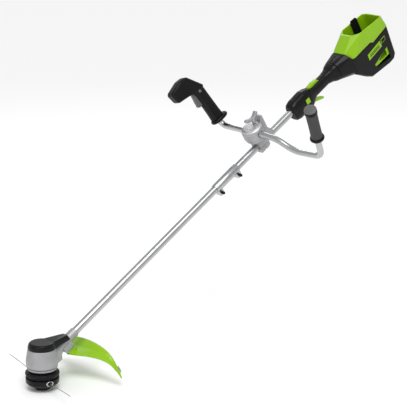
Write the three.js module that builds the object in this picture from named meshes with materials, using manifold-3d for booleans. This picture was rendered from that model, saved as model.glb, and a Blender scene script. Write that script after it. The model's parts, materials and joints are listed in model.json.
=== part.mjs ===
// Battery brush cutter: a line head with its own motor at the foot of a two-piece shaft,
// a bull handlebar on a swivel clamp, a rear trigger handle and an open battery bay.
// Millimetres, +Z up. The origin is the foot of the bump knob, on the line head's spin axis.
// The shaft lies in the XZ plane and rises towards +X, where the operator stands.

import * as THREE from 'three';
import Module from 'manifold-3d';
import { ConvexGeometry } from 'three/addons/geometries/ConvexGeometry.js';
import { ParametricGeometry } from 'three/addons/geometries/ParametricGeometry.js';
import { mergeVertices } from 'three/addons/utils/BufferGeometryUtils.js';

const wasm = await Module();
wasm.setup();

// ---- driving dimensions ----
const GAP = 0.3;                                  // clearance kept between touching pieces
const SHAFT_SLOPE = THREE.MathUtils.degToRad(31.26);
const SHAFT_AXIS_Z = 80.94;                       // where the shaft axis meets the spin axis
const TUBE_R = 13;
const TUBE_BORE_R = 11;
const NECK_R = 16;                                // cast socket that holds the lower tube
const NECK_END = 155;                             // stations along the shaft, from the spin axis
const TUBE_START = 64.4;
const TUBE_JOINT = 905;
const TUBE_END = 1345;

const HOUSING_FLOOR = 76.3;                       // heights on the spin axis
const HOUSING_TOP = 136;
const COVER_TOP = 157;
const SPOOL_R = 54;
const LINE_HEIGHT = 38;
const LINE_R = 1.15;
const LINE_ANGLE = THREE.MathUtils.degToRad(-100);

const BAR_STATION = 1102;                         // plane of the handlebar along the shaft
const SWIVEL_STATION = 1125;                      // axis of the wing knob and the swivel
const BAR_R = 11;
const BAR_HEIGHT = 57;                            // above the shaft axis, inside the turret
const LEFT_GRIP = { y: -332.5, u: 100.7, lean: THREE.MathUtils.degToRad(13.4), length: 140 };
const PISTOL = { y: 160, u: 78, lean: THREE.MathUtils.degToRad(-16.5) };

const HANDLE_START = 1278;
const HANDLE_SEAM = 1521;                         // ring where handle and battery housing meet
const CAVITY_START = 1348;
const HOUSING_HALF = 48;
const BAY_FLOOR = -95.5;

// ---- colours and finishes ----
const finish = (color, roughness, metalness = 0) =>
  new THREE.MeshStandardMaterial({ color, roughness, metalness });
const GREEN = finish(0x8cc71e, 0.4);
const BLACK = finish(0x222223, 0.5);
const CAST = finish(0xb4b6b8, 0.45, 0.6);
const TUBE = finish(0xc9cbce, 0.25, 0.9);
const GREY_RUBBER = finish(0x474747, 0.85);
const MID_GREY = finish(0x6c6d6e, 0.6);
const STEEL = finish(0xaeb0b2, 0.3, 1);
const COPPER = finish(0xb06a35, 0.4, 0.8);
const NYLON = finish(0xd9dadb, 0.4);
const BOARD = finish(0x1f5a35, 0.6);

// ---- solids ----

// Shared vertices are joined, collapsed faces dropped, and the faces turned to point out.
function solid(geometry) {
  const bare = geometry.clone();
  bare.deleteAttribute('normal');
  bare.deleteAttribute('uv');
  const merged = mergeVertices(bare, 1e-3);
  const places = merged.attributes.position.array;
  const corner = (index) => new THREE.Vector3().fromArray(places, 3 * index);
  const faces = [];
  let volume = 0;
  for (let i = 0; i < merged.index.count; i += 3) {
    const [a, b, c] = [0, 1, 2].map((k) => merged.index.getX(i + k));
    if (a === b || b === c || c === a) continue;
    faces.push([a, b, c]);
    volume += corner(a).dot(corner(b).cross(corner(c)));
  }
  const outward = faces.map((face) => (volume > 0 ? face : [face[0], face[2], face[1]]));
  return new wasm.Manifold(new wasm.Mesh({
    numProp: 3,
    vertProperties: new Float32Array(places),
    triVerts: new Uint32Array(outward.flat()),
  }));
}

function surface(shape) {
  const mesh = shape.getMesh();
  const geometry = new THREE.BufferGeometry();
  geometry.setAttribute('position', new THREE.BufferAttribute(mesh.vertProperties, 3));
  geometry.setIndex(new THREE.BufferAttribute(mesh.triVerts, 1));
  geometry.computeVertexNormals();
  return geometry;
}

const joined = (first, ...others) => others.reduce((whole, next) => whole.add(next), first);
const cut = (first, ...others) => others.reduce((whole, next) => whole.subtract(next), first);

// A profile of [radius, height] pairs turned about Z.
function turned(profile, segments = 24) {
  const points = profile.map(([r, z]) => new THREE.Vector2(r, z));
  return solid(new THREE.LatheGeometry(points, segments).rotateX(Math.PI / 2));
}

const ringProfile = (inner, outer, low, high) =>
  [[inner, low], [outer, low], [outer, high], [inner, high], [inner, low]];

// A round rod between two points.
function rod(radius, from, to, segments = 20) {
  const [start, end] = [from, to].map((p) => new THREE.Vector3(...p));
  const along = end.clone().sub(start);
  const geometry = new THREE.CylinderGeometry(radius, radius, along.length(), segments);
  const turn = new THREE.Quaternion().setFromUnitVectors(
    new THREE.Vector3(0, 1, 0), along.clone().normalize());
  geometry.applyQuaternion(turn);
  const middle = start.add(end).multiplyScalar(0.5);
  return solid(geometry.translate(middle.x, middle.y, middle.z));
}

function block(x0, x1, y0, y1, z0, z1) {
  const geometry = new THREE.BoxGeometry(x1 - x0, y1 - y0, z1 - z0);
  return solid(geometry.translate((x0 + x1) / 2, (y0 + y1) / 2, (z0 + z1) / 2));
}

const hull = (points) => solid(new ConvexGeometry(points.map((p) => new THREE.Vector3(...p))));

// Each point is mirrored across the XZ plane before the hull is drawn.
const pairedHull = (points) => hull(points.flatMap(([x, y, z]) => [[x, y, z], [x, -y, z]]));

// An outline in X and Z, carried from y0 to y1.
function slab(outline, y0, y1) {
  const shape = new THREE.Shape(outline.map(([x, z]) => new THREE.Vector2(x, z)));
  const geometry = new THREE.ExtrudeGeometry(shape, { depth: y1 - y0, bevelEnabled: false });
  return solid(geometry.rotateX(Math.PI / 2).translate(0, y1, 0));
}

// An outline in X and Y, carried from z0 to z1.
function plate(outline, z0, z1) {
  const shape = new THREE.Shape(outline.map(([x, y]) => new THREE.Vector2(x, y)));
  const geometry = new THREE.ExtrudeGeometry(shape, { depth: z1 - z0, bevelEnabled: false });
  return solid(geometry.translate(0, 0, z0));
}

// A skin over sections that all have the same number of points, closed by a fan at each end.
function loft(sections) {
  const count = sections[0].length;
  const middle = (section) => section.reduce(
    (sum, p) => sum.add(p), new THREE.Vector3()).multiplyScalar(1 / count);
  const rows = sections.length + 1;
  const at = (u, v, target) => {
    const row = Math.round(v * rows);
    if (row === 0) return target.copy(middle(sections[0]));
    if (row === rows) return target.copy(middle(sections[sections.length - 1]));
    return target.copy(sections[row - 1][Math.round(u * count) % count]);
  };
  return solid(new ParametricGeometry(at, count, rows));
}

// A rounded section across the shaft at station s; power 2 is an ellipse, higher is squarer.
function section([s, half, low, high], power = 2.6, count = 20) {
  const centre = (low + high) / 2;
  const rise = (high - low) / 2;
  const soften = (value) => Math.sign(value) * Math.abs(value) ** (2 / power);
  return Array.from({ length: count }, (_, i) => {
    const turn = (2 * Math.PI * (i + 0.5)) / count;
    return new THREE.Vector3(s, half * soften(Math.cos(turn)), centre + rise * soften(Math.sin(turn)));
  });
}

// A tube or rod carried along a curve.
function swept(curve, outer, bore, sides, steps) {
  const ring = (radius) => Array.from({ length: sides }, (_, i) => new THREE.Vector2(
    radius * Math.cos((2 * Math.PI * i) / sides), radius * Math.sin((2 * Math.PI * i) / sides)));
  const shape = new THREE.Shape(ring(outer));
  if (bore) shape.holes.push(new THREE.Path(ring(bore)));
  return solid(new THREE.ExtrudeGeometry(shape, { steps, bevelEnabled: false, extrudePath: curve }));
}

// A path of straight runs whose corners are rounded.
function bentPath(corners, bends) {
  const points = corners.map((p) => new THREE.Vector3(...p));
  const path = new THREE.CurvePath();
  let from = points[0];
  for (let i = 1; i < points.length - 1; i += 1) {
    const back = points[i - 1].clone().sub(points[i]).setLength(bends[i - 1]);
    const ahead = points[i + 1].clone().sub(points[i]).setLength(bends[i - 1]);
    const enter = points[i].clone().add(back);
    const leave = points[i].clone().add(ahead);
    path.add(new THREE.LineCurve3(from, enter));
    path.add(new THREE.QuadraticBezierCurve3(enter, points[i], leave));
    from = leave;
  }
  path.add(new THREE.LineCurve3(from, points[points.length - 1]));
  return path;
}

// ---- groups ----
const brushCutter = new THREE.Group();
const shaftGroup = new THREE.Group();             // X runs up the shaft, Z is its upper side
shaftGroup.position.z = SHAFT_AXIS_Z;
shaftGroup.rotation.y = -SHAFT_SLOPE;
const leftGripGroup = new THREE.Group();          // Z runs up the grip
leftGripGroup.position.set(BAR_STATION, LEFT_GRIP.y, LEFT_GRIP.u);
leftGripGroup.rotation.x = LEFT_GRIP.lean;
const pistolGroup = new THREE.Group();            // Z runs up the grip, -X points forward
pistolGroup.position.set(BAR_STATION, PISTOL.y, PISTOL.u);
pistolGroup.rotation.x = PISTOL.lean;
shaftGroup.add(leftGripGroup, pistolGroup);
brushCutter.add(shaftGroup);

function add(group, name, material, shape) {
  const mesh = new THREE.Mesh(surface(shape), material);
  mesh.name = name;
  group.add(mesh);
}

// A point of the shaft's frame, given in the head's frame.
function onShaft(s, y, u) {
  const [c, n] = [Math.cos(SHAFT_SLOPE), Math.sin(SHAFT_SLOPE)];
  return [s * c - u * n, y, SHAFT_AXIS_Z + s * n + u * c];
}

// ---- line head ----

function bumpKnob() {
  const [ribs, rimR] = [16, 27.5];
  const body = turned([[0, 0], [19, 0], [24.5, 2], [rimR, 6.5], [rimR, 13.5], [12.3, 15.5],
    [12.3, 28], [8, 28], [8, 5], [0, 5]]);
  const rib = (i) => {
    const turn = (2 * Math.PI * i) / ribs;
    const [c, n] = [Math.cos(turn), Math.sin(turn)];
    return rod(1.3, [rimR * c, rimR * n, 5.5], [rimR * c, rimR * n, 13.4], 5);
  };
  return joined(body, ...Array.from({ length: ribs }, (_, i) => rib(i)));
}

const innerSpool = () => turned([[12.7, 18.6], [43, 18.6], [43, 20.5], [24, 20.5], [24, 36.5],
  [43, 36.5], [43, 39], [21.5, 39], [21.5, 26], [12.7, 26], [12.7, 18.6]]);

const woundLine = () => turned([[24.4, 21], [36, 21], [38.5, 23.5], [38.5, 33.5], [36, 36],
  [24.4, 36], [24.4, 21]]);

function spoolSpring() {
  const [turns, coilR, wireR, low, high] = [4, 17, 0.9, 27.6, 44.6];
  class Helix extends THREE.Curve {
    getPoint(t, target = new THREE.Vector3()) {
      const turn = 2 * Math.PI * turns * t;
      return target.set(coilR * Math.cos(turn), coilR * Math.sin(turn), low + (high - low) * t);
    }
  }
  return swept(new Helix(), wireR, 0, 4, 40);
}

const spoolCover = () => turned([[5.6, 35], [12, 35], [12, 46], [46.5, 46], [46.5, 41.6],
  [50, 41.6], [50, 47.5], [53.5, 49.5], [55, 52], [55, 57.5], [53, 60], [46, 62], [14, 62],
  [14, 64.5], [5.6, 64.5], [5.6, 35]], 28);

// Points along a line's exit, from the spin axis outwards.
const atLine = (angle, r, z = LINE_HEIGHT) => [r * Math.cos(angle), r * Math.sin(angle), z];
const LINE_EXITS = { near: LINE_ANGLE, far: LINE_ANGLE + Math.PI };
const EYELET_HEIGHT = 33;

function spoolBody() {
  const cup = turned([[30, 14], [41, 14], [49, 17], [53, 21], [SPOOL_R, 25], [SPOOL_R, 41.3],
    [51, 41.3], [51, 24], [47, 19.5], [40, 17], [30, 17], [30, 14]], 28);
  const holes = Object.values(LINE_EXITS).map((angle) => rod(
    6.2, atLine(angle, 46, EYELET_HEIGHT), atLine(angle, 60, EYELET_HEIGHT), 16));
  return cut(cup, ...holes);
}

// A bushed eyelet with a flange; it hardens the hole where the line leaves the spool.
function lineEyelet(angle) {
  const bush = rod(5.8, atLine(angle, 49.5, EYELET_HEIGHT), atLine(angle, 56, EYELET_HEIGHT), 12);
  const flange = rod(7.5, atLine(angle, 54.4, EYELET_HEIGHT), atLine(angle, 56.2, EYELET_HEIGHT), 14);
  const bore = rod(2.6, atLine(angle, 45, EYELET_HEIGHT), atLine(angle, 60, EYELET_HEIGHT), 8);
  return cut(joined(bush, flange), bore);
}

// [distance from the spin axis, height] of each line, straight out and drooping slightly.
const NEAR_LINE = [[52, 33], [60, 33.2], [70, 33.7], [80, 34.3], [90, 34.9], [100, 35.5],
  [110, 36], [120, 36.5], [130, 36.9], [140, 37.3], [150, 37.6], [160, 37.9], [170, 38.1],
  [181, 38.2], [192, 38.3]];
const FAR_LINE = [[52, 33], [62, 33.3], [76, 34], [90, 34.8], [105, 35.6], [120, 36.4],
  [135, 37.1], [150, 37.8], [165, 38.3], [180, 38.7], [195, 39], [210, 39.2], [225, 39.3],
  [235, 39.2], [244, 39]];

function trimmerLine(route, angle) {
  const points = route.map(([r, z]) => new THREE.Vector3(...atLine(angle, r, z)));
  return swept(new THREE.CatmullRomCurve3(points), LINE_R, 0, 8, 14);
}

const spindle = () => turned([[0, 19], [5, 19], [5, 64.8], [12, 64.8], [12, 66.6], [5, 66.6],
  [5, 116], [0, 116]], 16);

const lowerCollar = () => turned([[13.4, 67], [45, 67], [47.5, 69], [48.6, 75.9], [46, 75.9],
  [46, 79], [17, 79], [17, 109.5], [13.4, 109.5], [13.4, 67]]);

const BEARING_SEATS = { lower: 68, upper: 100.5 };

const spindleBearing = (seat) => turned(ringProfile(5.4, 13.1, seat, seat + 8), 16);

function stator() {
  const teeth = 12;
  const outline = Array.from({ length: teeth }, (_, i) => {
    const turn = (2 * Math.PI * i) / teeth;
    return [[25, 0.07], [33, 0.09], [38, 0.22], [38, 0.3], [33, 0.43], [25, 0.45]].map(
      ([r, part]) => [r * Math.cos(turn + part), r * Math.sin(turn + part)]);
  }).flat();
  return cut(plate(outline, 82, 106), rod(17.3, [0, 0, 70], [0, 0, 120], 32));
}

const rotorBell = () => turned([[5.4, 110], [38.6, 110], [38.6, 81], [42.5, 81], [42.5, 111.5],
  [40.5, 113], [9, 113], [9, 117], [5.4, 117], [5.4, 110]]);

const neckRod = (radius, from, to) => rod(radius, onShaft(from, 0, 0), onShaft(to, 0, 0), 28);

function motorHousing() {
  const can = turned([[0, HOUSING_FLOOR], [48.6, HOUSING_FLOOR], [50.6, 80], [52, 92], [51, 104],
    [47.5, 124], [45, HOUSING_TOP], [0, HOUSING_TOP]], 36);
  const heel = slab([[30, 77], [53, 77], [69, 86], [69, 104], [74, 111], [62, 122], [30, 110]], -16, 16);
  const cavity = turned([[0, 60], [46.4, 60], [46.4, 104], [44.6, 118], [41, 126], [41, 140], [0, 140]], 28);
  return cut(joined(can, neckRod(NECK_R, 20, NECK_END), heel), cavity,
    neckRod(10, 20, 70), neckRod(TUBE_R + GAP, 64, 170));
}

const circle = (radius, z, count = 28) => Array.from({ length: count }, (_, i) => [
  radius * Math.cos((2 * Math.PI * i) / count), radius * Math.sin((2 * Math.PI * i) / count), z]);

// The cap has a snout that covers the upper half of the neck.
function headTopCover() {
  const cap = hull([...circle(45, HOUSING_TOP + 0.4), ...circle(44.4, 146), ...circle(41, 154),
    ...circle(37, COVER_TOP)]);
  const snoutEnd = [[16, 1], [16, 12], [11, 20], [0, 22.5]].map(([y, u]) => onShaft(122, y, u));
  const snoutRoot = [[26, 36, 139], [26, 33, 152], [26, 24, 157], [30, 0, 157.5]];
  const snout = pairedHull([...snoutEnd, ...snoutRoot]);
  const inside = turned([[0, 120], [39.5, 120], [39.5, 150], [34, 153.5], [0, 153.5]], 28);
  return cut(joined(cap, snout), inside, neckRod(NECK_R + 0.4, 10, 170));
}

// ---- guard ----

// Across the guard: distance from the middle, then X and Z of the front lip and the rear rim,
// and how far the rear skirt hangs down.
const GUARD_RIBS = [
  [0, 98, 97.5, 190, 122, 34], [30, 113, 97, 189.5, 121.2, 34], [58, 135, 95.5, 189, 118, 32],
  [82, 148, 93, 189.5, 112, 28], [100, 158, 89.5, 189.5, 105.5, 23], [116, 164, 85.5, 190.5, 95, 18],
  [128, 169, 80, 192.5, 82, 13], [140, 175, 70, 194, 65, 9], [152, 181, 57, 193, 51, 6],
  [164, 187, 41, 189, 37, 3]];
const GUARD_WALL = 3;

function guardSection([y, frontX, frontZ, rearX, rearZ, skirt], side) {
  const reach = rearX - frontX;
  const scoop = 0.07 * reach;
  const along = (part, drop) => [frontX + reach * part, frontZ + (rearZ - frontZ) * part - drop];
  const outer = [along(0, 5), along(0.06, 0), along(0.35, scoop * 0.5), along(0.58, scoop),
    along(0.7, scoop * 0.45), along(0.9, -1), [rearX + 2, rearZ - 3], [rearX + 5, rearZ - skirt]];
  const inner = outer.map(([x, z], i) => {
    const before = outer[Math.max(i - 1, 0)];
    const after = outer[Math.min(i + 1, outer.length - 1)];
    const [dx, dz] = [after[0] - before[0], after[1] - before[1]];
    const length = Math.hypot(dx, dz);
    return [x + (GUARD_WALL * dz) / length, z - (GUARD_WALL * dx) / length];
  });
  return [...outer, ...inner.reverse()].map(([x, z]) => new THREE.Vector3(x, side * y, z));
}

function guard() {
  const left = GUARD_RIBS.slice(1).reverse().map((rib) => guardSection(rib, -1));
  const right = GUARD_RIBS.map((rib) => guardSection(rib, 1));
  const [front, rear, top, low] = [92, 126, -31.5, -56];
  const pad = pairedHull([onShaft(front, 14, top), onShaft(rear, 14, top), onShaft(front, 14, -38),
    onShaft(rear, 14, low)]);
  return joined(loft([...left, ...right]), pad);
}

// A thin blade on the near tip that trims the line to length.
function lineCutter() {
  const along = new THREE.Vector3(0, -1, -1).normalize();
  const outward = new THREE.Vector3(1, 0, 0);
  const across = new THREE.Vector3(0, 1, -1).normalize();
  const stance = new THREE.Matrix4().makeBasis(along, across, outward).setPosition(200.5, -141, 54);
  return solid(new THREE.BoxGeometry(22, 11, 1.6).applyMatrix4(stance));
}

const GUARD_SCREWS = { left: [104, -9], right: [104, 9] };

function guardBracket() {
  const body = pairedHull([[84, 17, -2], [122, 17, -2], [84, 17, -24], [122, 17, -24],
    [88, 14, -31.2], [122, 14, -31.2]]);
  const holes = Object.values(GUARD_SCREWS).map(([s, y]) => rod(3.3, [s, y, -40], [s, y, -19], 10));
  return cut(body, rod(NECK_R + 0.35, [40, 0, 0], [170, 0, 0], 28), ...holes);
}

const guardScrew = ([s, y]) => rod(3, [s, y, -30.8], [s, y, -20], 10);

// ---- shaft ----

const lengthOfTube = (from, to) => cut(
  rod(TUBE_R, [from, 0, 0], [to, 0, 0], 24), rod(TUBE_BORE_R, [from - 5, 0, 0], [to + 5, 0, 0], 24));

const COUPLER = { from: 864, to: 979, outer: 16.5, front: 877, rear: 970, boltU: -23 };

function couplerSleeve() {
  const lug = (s) => block(s - 9, s + 9, -12, 12, -31, -10);
  const hole = (s) => rod(3.3, [s, -20, COUPLER.boltU], [s, 20, COUPLER.boltU], 12);
  const body = joined(rod(COUPLER.outer, [COUPLER.from, 0, 0], [COUPLER.to, 0, 0], 28),
    lug(COUPLER.front), lug(COUPLER.rear));
  const bore = rod(TUBE_R + GAP, [COUPLER.from - 5, 0, 0], [COUPLER.to + 15, 0, 0], 24);
  return cut(body, bore, hole(COUPLER.front), hole(COUPLER.rear));
}

const couplerBolt = (s) => joined(
  rod(3, [s, -14, COUPLER.boltU], [s, 16, COUPLER.boltU], 12),
  rod(5.4, [s, -20.5, COUPLER.boltU], [s, -12.3, COUPLER.boltU], 16),
  rod(5.2, [s, 12.3, COUPLER.boltU], [s, 17, COUPLER.boltU], 6));

// The lead runs from the motor's neck, through both tubes, to the controller.
function powerCable() {
  const route = [[58, 0, 0], [120, 0, -1],
    [300, 0, -1], [500, 0, -2], [700, 0, -2], [905, 0, -1], [1100, 0, -2], [1345, 0, -2],
    [1362, 7, -1], [1384, 12, 0], [1410, 12.3, -1], [1436, 12, -2], [1465, 5, -5], [1495, 0, -10],
    [1530, 0, -20], [1556, 0, -30]];
  const curve = new THREE.CatmullRomCurve3(route.map((p) => new THREE.Vector3(...p)));
  return swept(curve, 3, 0, 8, 52);
}

// ---- handlebar clamp ----

const CLAMP = { from: 1088, to: 1132, half: 24, footEnd: 1172, drumStation: 1106, drumR: 41 };
const CLAMP_BOLTS = { left: [1110, -19], right: [1110, 19] };
const PEDESTAL_TOP = 41;

function clampLower() {
  const body = pairedHull([[CLAMP.from, CLAMP.half, -0.4], [CLAMP.to, CLAMP.half, -0.4],
    [CLAMP.from, CLAMP.half, -12], [CLAMP.to, CLAMP.half, -12], [CLAMP.from + 3, 15, -25],
    [CLAMP.to - 3, 15, -25]]);
  const holes = Object.values(CLAMP_BOLTS).flatMap(([s, y]) => [
    rod(2.6, [s, y, -30], [s, y, 5], 10), rod(4.8, [s, y, -30], [s, y, -15], 12)]);
  return cut(body, rod(TUBE_R + GAP, [CLAMP.from - 9, 0, 0], [CLAMP.to + 9, 0, 0], 24), ...holes);
}

function clampBase() {
  const saddle = pairedHull([[CLAMP.from, CLAMP.half, 0.4], [CLAMP.to, CLAMP.half, 0.4],
    [CLAMP.from, CLAMP.half, 20], [CLAMP.to, CLAMP.half, 20], [CLAMP.from + 4, 18, 26],
    [CLAMP.to, 18, 26]]);
  const pedestal = hull([...circle(28, 22, 28), ...circle(38, 34, 28), ...circle(38, PEDESTAL_TOP, 28)]
    .map(([x, y, z]) => [x + CLAMP.drumStation, y, z]));
  const foot = pairedHull([[1126, 15, 0.4], [CLAMP.footEnd, 15, 0.4], [CLAMP.footEnd, 12, 15],
    [CLAMP.footEnd - 3, 6, 18], [1156, 13, PEDESTAL_TOP], [1126, 13, PEDESTAL_TOP]]);
  const holes = Object.values(CLAMP_BOLTS).map(([s, y]) => rod(2.6, [s, y, -5], [s, y, 14], 10));
  return cut(joined(saddle, pedestal, foot),
    rod(TUBE_R + GAP, [CLAMP.from - 9, 0, 0], [CLAMP.footEnd + 9, 0, 0], 24), ...holes,
    rod(5, [SWIVEL_STATION, 0, 24], [SWIVEL_STATION, 0, 60], 16));
}

const clampBolt = ([s, y]) => joined(
  rod(2.3, [s, y, -17], [s, y, 12], 10), rod(4.4, [s, y, -19.5], [s, y, -15.4], 12));

function clampTurret() {
  const drum = hull([...circle(CLAMP.drumR - 1, PEDESTAL_TOP + GAP), ...circle(CLAMP.drumR, 46),
    ...circle(CLAMP.drumR, 68), ...circle(CLAMP.drumR - 3, 74)]
    .map(([x, y, z]) => [x + CLAMP.drumStation, y, z]));
  const gusset = slab([[1118, PEDESTAL_TOP + GAP], [1158, PEDESTAL_TOP + GAP], [1157, 92],
    [1148, 93], [1140, 74], [1118, 74]], -12, 12);
  const barHole = rod(BAR_R + GAP, [BAR_STATION, -60, BAR_HEIGHT], [BAR_STATION, 60, BAR_HEIGHT], 24);
  const studHole = rod(4.6, [SWIVEL_STATION, 0, 30], [SWIVEL_STATION, 0, 110], 16);
  return cut(joined(drum, gusset), barHole, studHole);
}

function turretCap() {
  const dome = hull([...circle(37.5, 74.4), ...circle(35, 77.5), ...circle(28, 80), ...circle(16, 81.5)]
    .map(([x, y, z]) => [x + CLAMP.drumStation, y, z]));
  const gussetRoom = block(1139, 1180, -12.4, 12.4, 60, 110);
  return cut(dome, gussetRoom, rod(4.6, [SWIVEL_STATION, 0, 60], [SWIVEL_STATION, 0, 110], 16));
}

function wingKnob() {
  const wings = slab([[1096, 99], [1091, 106], [1093, 112], [1099, 114], [1112, 108], [1125, 105],
    [1132, 107], [1141, 113], [1147, 112], [1146, 104], [1138, 97], [1112, 95]], -6, 6);
  const hub = turned([[0, 83], [8, 83], [8, 91], [12, 94], [12, 102], [9, 106], [0, 106]], 24)
    .translate([SWIVEL_STATION, 0, 0]);
  return joined(wings, hub, rod(4, [SWIVEL_STATION, 0, 26], [SWIVEL_STATION, 0, 90], 16));
}

function handlebarTube() {
  const grip = LEFT_GRIP;
  const endOfGrip = 130;
  const top = [BAR_STATION, grip.y - endOfGrip * Math.sin(grip.lean),
    grip.u + endOfGrip * Math.cos(grip.lean)];
  const inPistol = 60;
  const end = [BAR_STATION, PISTOL.y - inPistol * Math.sin(PISTOL.lean),
    PISTOL.u + inPistol * Math.cos(PISTOL.lean)];
  const corners = [top, [BAR_STATION, -313, 19], [BAR_STATION, -180, 12],
    [BAR_STATION, -116, BAR_HEIGHT - 7],
    [BAR_STATION, -62, BAR_HEIGHT], [BAR_STATION, 64, BAR_HEIGHT], [BAR_STATION, 154, BAR_HEIGHT + 1], end];
  return swept(bentPath(corners, [32, 34, 22, 14, 8, 24]), BAR_R, 9, 12, 36);
}

// ---- left grip ----

const gripRing = (outer, low, high) => turned(ringProfile(BAR_R + GAP, outer, low, high));

const leftGripFlange = () => turned([[BAR_R + GAP, 0], [21, 0], [24.5, 3], [24.5, 8], [21.5, 12],
  [BAR_R + GAP, 12], [BAR_R + GAP, 0]]);

const leftGripRubber = () => turned([[BAR_R + GAP, 12.3], [20.5, 12.3], [19.6, 60], [20.6, 105],
  [20.6, 118], [BAR_R + GAP, 118], [BAR_R + GAP, 12.3]]);

const leftGripCap = () => turned([[0, 119], [8.6, 119], [8.6, 130.4], [21, 130.4], [21, 136],
  [19.6, 138.5], [0, 138.5]]);

// ---- pistol grip ----

const PISTOL_WALL = 2.6;
const upright = ([z, halfX, halfY, shift], inset) => section(
  [z, halfY - inset, -halfX + inset, halfX - inset]).map((p) => new THREE.Vector3(p.z + shift, p.y, p.x));

const GRIP_SECTIONS = [[14.4, 25, 19, 0], [40, 23.5, 18, 0], [80, 23, 17.5, 0], [120, 23.5, 18, -1],
  [146, 26, 19, -4]];

function pistolBody(inset) {
  const stations = GRIP_SECTIONS.map((row, i) => {
    const lift = inset && i === 0 ? 50 : 0;
    return upright([row[0] + lift, ...row.slice(1)], inset);
  });
  const nose = [[23, 141], [-14, 201], [-24, 206], [-50, 208], [-98, 196], [-104, 188], [-99, 157],
    [-93, 150], [-39, 144], [18, 132]];
  const middle = [-36, 172];
  const pull = (distance) => nose.map(([x, z]) => {
    const [dx, dz] = [middle[0] - x, middle[1] - z];
    const length = Math.hypot(dx, dz);
    return [x + (distance * dx) / length, z + (distance * dz) / length];
  });
  const rim = pull(inset).map(([x, z]) => [x, 13 - inset / 2, z]);
  const cheek = pull(7 + inset).map(([x, z]) => [x, 20 - inset, z]);
  return joined(loft(stations), pairedHull([...rim, ...cheek]));
}

function pistolShells() {
  const boreForBar = rod(BAR_R + GAP, [0, 0, 0], [0, 0, 66], 20);
  const triggerSlot = block(-60, -8, -6.6, 6.6, 80, 158);
  const buttonHole = rod(6.4, [-5, -30, 133], [-5, -8, 133], 16);
  const whole = cut(pistolBody(0), pistolBody(PISTOL_WALL), boreForBar, triggerSlot, buttonHole);
  return {
    left: whole.intersect(block(-200, 200, -60, -GAP / 2, -10, 260)),
    right: whole.intersect(block(-200, 200, GAP / 2, 60, -10, 260)),
  };
}

function pistolFlange() {
  const outline = (grow, z) => section([z, 25 + grow, -30 - grow, 40 + grow], 2.3, 28)
    .map((p) => [p.z, p.y, p.x]);
  const disc = hull([...outline(-4, 0), ...outline(0, 4), ...outline(0, 10), ...outline(-4, 14)]);
  return cut(disc, rod(BAR_R + 1, [0, 0, -10], [0, 0, 30], 20));
}

const pistolTrigger = () => slab([[-24, 150], [-31, 150], [-33, 138], [-40.5, 92], [-39, 87],
  [-34, 84.5], [-24, 84.5], [-14, 88], [-13, 150]], -6, 6);

const pistolButton = () => rod(6, [-5, -20.5, 133], [-5, -12, 133], 20);

// ---- rear handle ----

// Station, half width, underside and top of the handle across the shaft.
const HANDLE_SECTIONS = [[HANDLE_START, 20, -27, 22], [1284, 25, -37, 30], [1300, 27.5, -42, 35],
  [1350, 28, -43, 37], [1372, 26.5, -41, 32], [1390, 22.5, -27, 23], [1402, 20.5, -22.5, 20.5],
  [1470, 20, -22.5, 20.5], [1492, 24, -29, 22.5], [1506, 31, -37, 27.5], [HANDLE_SEAM - 0.3, 35, -42, 31]];

const handleBody = (inset, from, past) => loft(HANDLE_SECTIONS.filter(([s]) => s > from)
  .map(([s, half, low, high]) => section(
    [s > HANDLE_SEAM - 1 ? s + past : s, half - inset, low + inset, high - inset], 2.8)));

const HANDLE_SCREWS = [[1300, -26], [1360, -32], [1300, 24], [1455, -4], [1508, -20]];
const SCREW_SEAT = 14;                             // depth of the screw heads from the middle plane

const screwSeats = (places) => places.map(([s, u]) => rod(4.4, [s, SCREW_SEAT, u], [s, 70, u], 12));

function handleShells() {
  const slots = [block(1382, 1443, -7.5, 7.5, 5, 50), block(1368, 1403, -6.6, 6.6, -60, -8),
    block(1336, 1360, -40, -20, -2, 10)];
  const inside = joined(handleBody(2.8, 1340, 10), block(CAVITY_START, 1380, -20, 20, -30, 24));
  const kept = inside.intersect(block(CAVITY_START, 1600, -60, 60, -80, 80));
  const whole = cut(handleBody(0, 0, 0), kept, rod(TUBE_R + GAP, [1200, 0, 0], [CAVITY_START + 1, 0, 0], 24),
    ...slots);
  return {
    left: whole.intersect(block(1200, 1600, -60, -GAP / 2, -80, 80)),
    right: cut(whole.intersect(block(1200, 1600, GAP / 2, 60, -80, 80)), ...screwSeats(HANDLE_SCREWS)),
  };
}

// The lever turns on two moulded stubs, the trigger on a steel pin.
const lockoffLever = () => joined(slab([[1384, 15], [1384, 21], [1387, 27], [1412, 30],
  [1434, 27.5], [1440, 21], [1440, 13], [1432, 10], [1400, 12]], -7, 7),
acrossHandle(LOCKOFF_PIVOT, 2, 7.25));

const handleTrigger = () => cut(slab([[1371, -12], [1371, -30], [1376, -36], [1394, -41],
  [1412, -48], [1426, -54], [1433, -54], [1434, -49], [1420, -40], [1406, -33], [1398, -26],
  [1397, -12]], -6, 6), acrossHandle(TRIGGER_PIVOT, 2.3, 30));

const triggerPin = () => acrossHandle(TRIGGER_PIVOT, 2, 12);

const TRIGGER_PIVOT = [1384, -17];
const LOCKOFF_PIVOT = [1434, 16];

const acrossHandle = ([s, u], radius, half) => rod(radius, [s, -half, u], [s, half, u], 12);

const triggerSwitch = () => joined(block(1404, 1432, -8, 8, -8, 6), block(1402, 1405, -3, 3, -6, 2));

const speedSwitch = () => joined(block(1337, 1355, -31.5, -28.6, -5, 14),
  block(1341, 1349, -29, -22, -0.5, 8.5));

// ---- battery housing ----

const SPLIT = [[1571, 40], [1588, 2], [1686, 3], [1700, -6], [1800, 4]];

// Everything above the line where green meets black, lifted by the clearance.
const aboveSplit = (lift) => slab(
  [...SPLIT.map(([s, u]) => [s, u + lift]), [1800, 130], [1571, 130]], -90, 90);

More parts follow.
